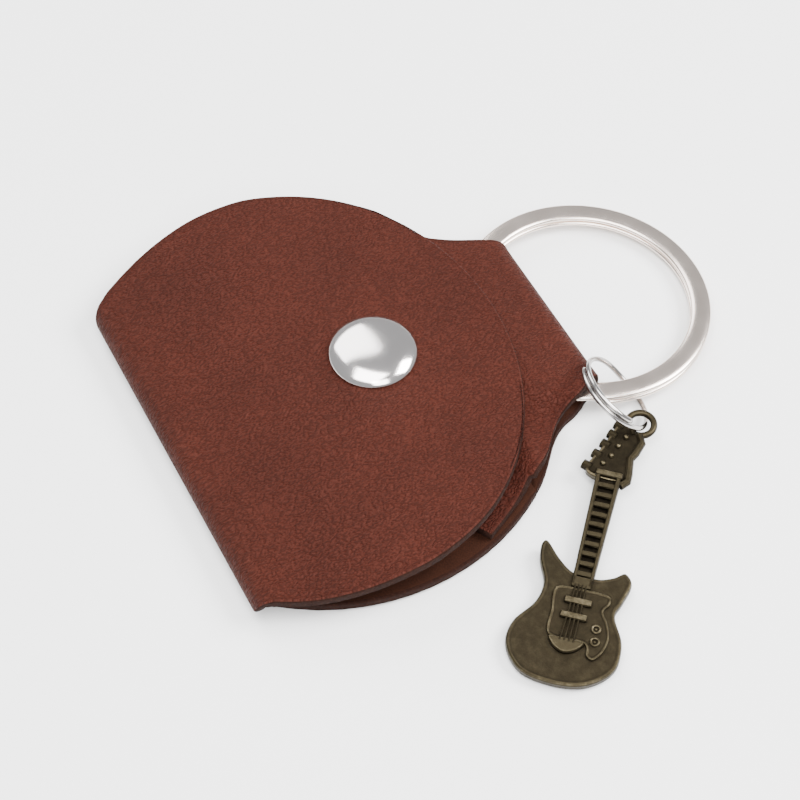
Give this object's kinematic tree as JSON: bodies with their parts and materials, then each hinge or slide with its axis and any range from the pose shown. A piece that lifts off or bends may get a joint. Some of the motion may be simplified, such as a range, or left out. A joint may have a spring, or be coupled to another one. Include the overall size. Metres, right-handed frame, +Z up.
{
  "type": "leather guitar pick holder key ring",
  "caption": "Folded leather guitar-pick pouch closed by a domed snap, with a split key ring through its tab and a small electric-guitar charm on a link ring.",
  "frame": {"origin": "middle of the back panel's round lobe, on its underside, where the holder rests", "axes": "+Z up out of the snap cap, +Y from the left fold towards the key ring, +X along the fold towards the charm"},
  "size_m": [0.0864, 0.0795, 0.0094],
  "materials": {
    "leather": "fine pebble grain, satin",
    "polished_nickel": "polished nickel plate",
    "snap_steel": "plated, satin",
    "satin_nickel": "satin nickel plate",
    "antique_bronze": "antique bronze, darkened recesses and worn edges"
  },
  "bodies": {
    "back": {"back_panel": "leather", "tongue": "leather", "snap_stud": "snap_steel", "snap_back_rivet": "snap_steel", "fold_spine": "leather", "neck_under": "leather", "neck_over": "leather"},
    "flap": {"flap_panel": "leather", "snap_cap": "polished_nickel", "snap_cap_post": "snap_steel", "snap_socket": "snap_steel", "snap_spring": "snap_steel"},
    "tab": {"ring_loop": "leather"},
    "ring": {"key_ring": "satin_nickel"},
    "link": {"link_ring": "polished_nickel"},
    "charm": {"guitar_charm": "antique_bronze"}
  },
  "joints": [
    {"name": "flap_hinge", "type": "hinge", "parent": "back", "child": "flap", "pos_m": [0, -0.0191, 0.0024], "axis": [1, 0, 0], "range_deg": [0, 165], "deforming": ["fold_spine"]},
    {"name": "tab_bend", "type": "hinge", "parent": "back", "child": "tab", "pos_m": [0, 0.0208, 0.0008], "axis": [1, 0, 0], "range_deg": [-35, 0], "deforming": ["neck_under", "neck_over"]},
    {"name": "ring_turn", "type": "hinge", "parent": "tab", "child": "ring", "pos_m": [0.003, 0.0405, 0.00225], "axis": [0, 0.0738, 0.9973], "range_deg": [0, 170]},
    {"name": "link_swing", "type": "hinge", "parent": "ring", "child": "link", "pos_m": [0.01827, 0.03686, 0.00323], "axis": [0.2311, 0.9703, -0.0718], "range_deg": [0, 70]},
    {"name": "charm_swing", "type": "hinge", "parent": "link", "child": "charm", "pos_m": [0.02482, 0.03663, 0.00228], "axis": [0.4464, -0.6757, 0.5867], "range_deg": [-15, 45]}
  ]
}
